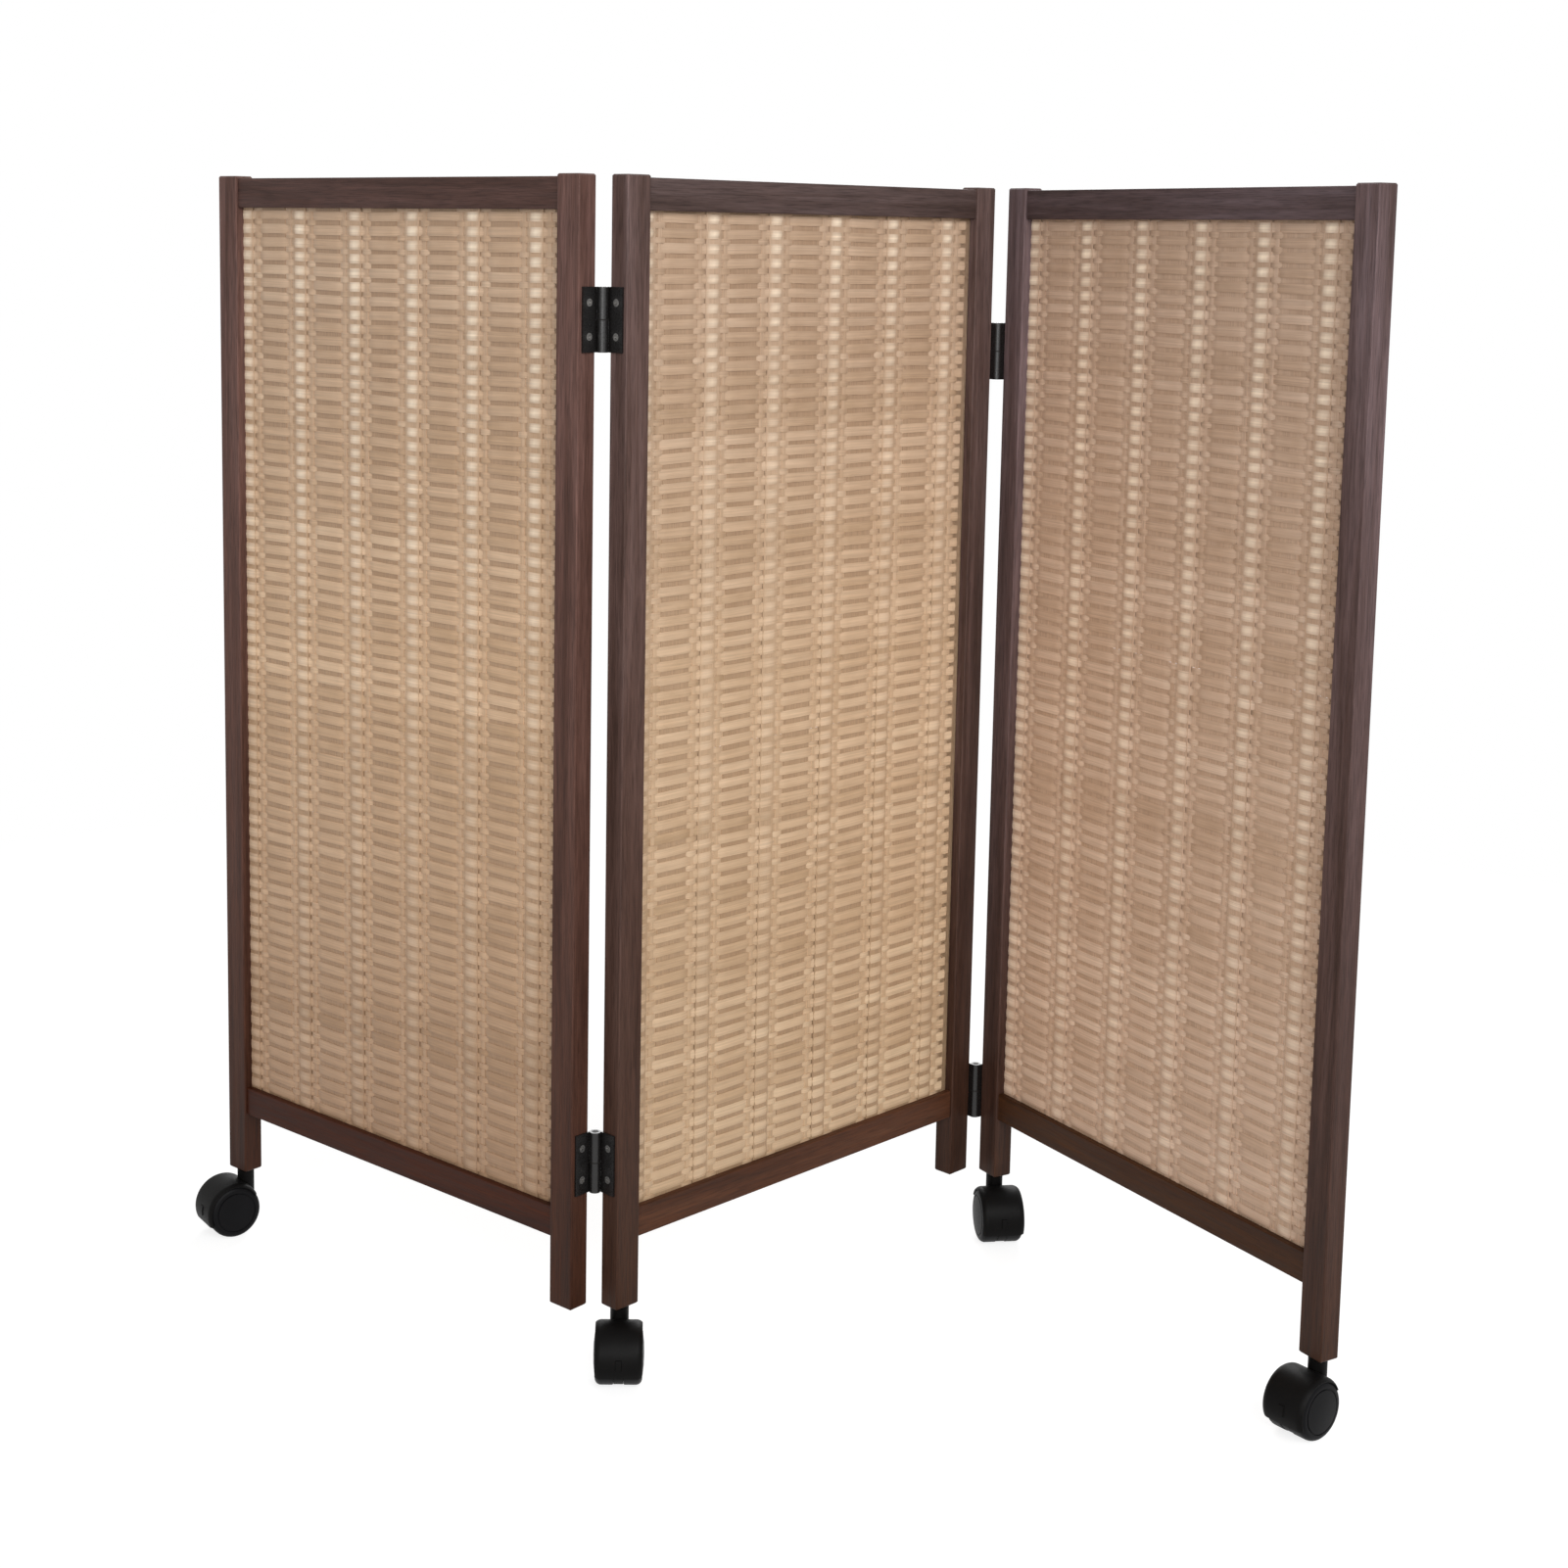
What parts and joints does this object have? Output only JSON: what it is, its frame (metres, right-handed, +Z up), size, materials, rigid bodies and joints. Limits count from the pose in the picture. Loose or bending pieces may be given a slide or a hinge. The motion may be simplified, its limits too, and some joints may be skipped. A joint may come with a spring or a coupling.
{
  "type": "folding screen",
  "caption": "Folding room screen of hinged dark wooden frames filled with flat woven rattan strips, rolling on twin-wheel swivel casters.",
  "frame": {"origin": "on the floor, under the middle of the standing screen's bounding box", "axes": "+X to the right along the zigzag, +Y to the back, away from the viewer, +Z up"},
  "size_m": [0.9522, 0.4242, 0.958],
  "materials": {
    "dark_wood": "satin stained",
    "dowel_wood": "raw",
    "woven_rattan": "natural woven strips",
    "black_hinge": "black satin",
    "bright_steel": "bright",
    "dark_steel": "dark oxide",
    "screw_steel": "bright",
    "hood_plastic": "black satin",
    "wheel_plastic": "black satin",
    "socket_plastic": "black"
  },
  "bodies": {
    "middle_panel": {"left_fold_lower_right_leaf": "black_hinge", "left_fold_right_leaf_screws": "screw_steel", "left_fold_upper_right_leaf": "black_hinge", "middle_panel_bottom_rail": "dark_wood", "middle_panel_dowels": "dowel_wood", "middle_panel_left_post": "dark_wood", "middle_panel_right_post": "dark_wood", "middle_panel_top_rail": "dark_wood", "middle_panel_woven_mat": "woven_rattan", "near_fold_caster_socket": "socket_plastic", "right_fold_left_leaf_screws": "screw_steel", "right_fold_lower_left_leaf": "black_hinge", "right_fold_upper_left_leaf": "black_hinge"},
    "left_panel": {"left_end_caster_socket": "socket_plastic", "left_fold_left_leaf_screws": "screw_steel", "left_fold_lower_left_leaf": "black_hinge", "left_fold_lower_pin": "dark_steel", "left_fold_upper_left_leaf": "black_hinge", "left_fold_upper_pin": "dark_steel", "left_fold_washers": "dark_steel", "left_panel_bottom_rail": "dark_wood", "left_panel_dowels": "dowel_wood", "left_panel_left_post": "dark_wood", "left_panel_right_post": "dark_wood", "left_panel_top_rail": "dark_wood", "left_panel_woven_mat": "woven_rattan"},
    "right_panel": {"far_fold_caster_socket": "socket_plastic", "right_end_caster_socket": "socket_plastic", "right_fold_lower_pin": "dark_steel", "right_fold_lower_right_leaf": "black_hinge", "right_fold_right_leaf_screws": "screw_steel", "right_fold_upper_pin": "dark_steel", "right_fold_upper_right_leaf": "black_hinge", "right_fold_washers": "dark_steel", "right_panel_bottom_rail": "dark_wood", "right_panel_dowels": "dowel_wood", "right_panel_left_post": "dark_wood", "right_panel_right_post": "dark_wood", "right_panel_top_rail": "dark_wood", "right_panel_woven_mat": "woven_rattan"},
    "left_end_caster": {"left_end_caster_axle": "bright_steel", "left_end_caster_hood": "hood_plastic", "left_end_caster_stem": "bright_steel"},
    "left_end_left_wheel": {"left_end_caster_left_wheel": "wheel_plastic"},
    "left_end_right_wheel": {"left_end_caster_right_wheel": "wheel_plastic"},
    "near_fold_caster": {"near_fold_caster_axle": "bright_steel", "near_fold_caster_hood": "hood_plastic", "near_fold_caster_stem": "bright_steel"},
    "near_fold_left_wheel": {"near_fold_caster_left_wheel": "wheel_plastic"},
    "near_fold_right_wheel": {"near_fold_caster_right_wheel": "wheel_plastic"},
    "far_fold_caster": {"far_fold_caster_axle": "bright_steel", "far_fold_caster_hood": "hood_plastic", "far_fold_caster_stem": "bright_steel"},
    "far_fold_left_wheel": {"far_fold_caster_left_wheel": "wheel_plastic"},
    "far_fold_right_wheel": {"far_fold_caster_right_wheel": "wheel_plastic"},
    "right_end_caster": {"right_end_caster_axle": "bright_steel", "right_end_caster_hood": "hood_plastic", "right_end_caster_stem": "bright_steel"},
    "right_end_left_wheel": {"right_end_caster_left_wheel": "wheel_plastic"},
    "right_end_right_wheel": {"right_end_caster_right_wheel": "wheel_plastic"}
  },
  "joints": [
    {"name": "fold_left", "type": "hinge", "parent": "middle_panel", "child": "left_panel", "pos_m": [-0.10425, -0.09065, 0.508], "axis": [0, 0, 1], "range_deg": [-92, 86]},
    {"name": "fold_right", "type": "hinge", "parent": "middle_panel", "child": "right_panel", "pos_m": [0.23913, 0.19978, 0.508], "axis": [0, 0, 1], "range_deg": [-67, 104.5]},
    {"name": "swivel_left_end", "type": "hinge", "parent": "left_panel", "child": "left_end_caster", "pos_m": [-0.43181, 0.19207, 0.058], "axis": [0, 0, 1], "continuous": true},
    {"name": "roll_left_end_left", "type": "hinge", "parent": "left_end_caster", "child": "left_end_left_wheel", "pos_m": [-0.44622, 0.18306, 0.024], "axis": [0.5299, -0.848, 0], "continuous": true},
    {"name": "roll_left_end_right", "type": "hinge", "parent": "left_end_caster", "child": "left_end_right_wheel", "pos_m": [-0.44622, 0.18306, 0.024], "axis": [0.5299, -0.848, 0], "continuous": true},
    {"name": "swivel_near_fold", "type": "hinge", "parent": "middle_panel", "child": "near_fold_caster", "pos_m": [-0.08344, -0.08861, 0.058], "axis": [0, 0, 1], "continuous": true},
    {"name": "roll_near_fold_left", "type": "hinge", "parent": "near_fold_caster", "child": "near_fold_left_wheel", "pos_m": [-0.08344, -0.10561, 0.024], "axis": [1, 0, 0], "continuous": true},
    {"name": "roll_near_fold_right", "type": "hinge", "parent": "near_fold_caster", "child": "near_fold_right_wheel", "pos_m": [-0.08344, -0.10561, 0.024], "axis": [1, 0, 0], "continuous": true},
    {"name": "swivel_far_fold", "type": "hinge", "parent": "right_panel", "child": "far_fold_caster", "pos_m": [0.25837, 0.19158, 0.058], "axis": [0, 0, 1], "continuous": true},
    {"name": "roll_far_fold_left", "type": "hinge", "parent": "far_fold_caster", "child": "far_fold_left_wheel", "pos_m": [0.26015, 0.17467, 0.024], "axis": [0.9945, 0.1045, 0], "continuous": true},
    {"name": "roll_far_fold_right", "type": "hinge", "parent": "far_fold_caster", "child": "far_fold_right_wheel", "pos_m": [0.26015, 0.17467, 0.024], "axis": [0.9945, 0.1045, 0], "continuous": true},
    {"name": "swivel_right_end", "type": "hinge", "parent": "right_panel", "child": "right_end_caster", "pos_m": [0.46005, -0.17226, 0.058], "axis": [0, 0, 1], "continuous": true},
    {"name": "roll_right_end_left", "type": "hinge", "parent": "right_end_caster", "child": "right_end_left_wheel", "pos_m": [0.44647, -0.18249, 0.024], "axis": [0.6018, -0.7986, 0], "continuous": true},
    {"name": "roll_right_end_right", "type": "hinge", "parent": "right_end_caster", "child": "right_end_right_wheel", "pos_m": [0.44647, -0.18249, 0.024], "axis": [0.6018, -0.7986, 0], "continuous": true}
  ]
}
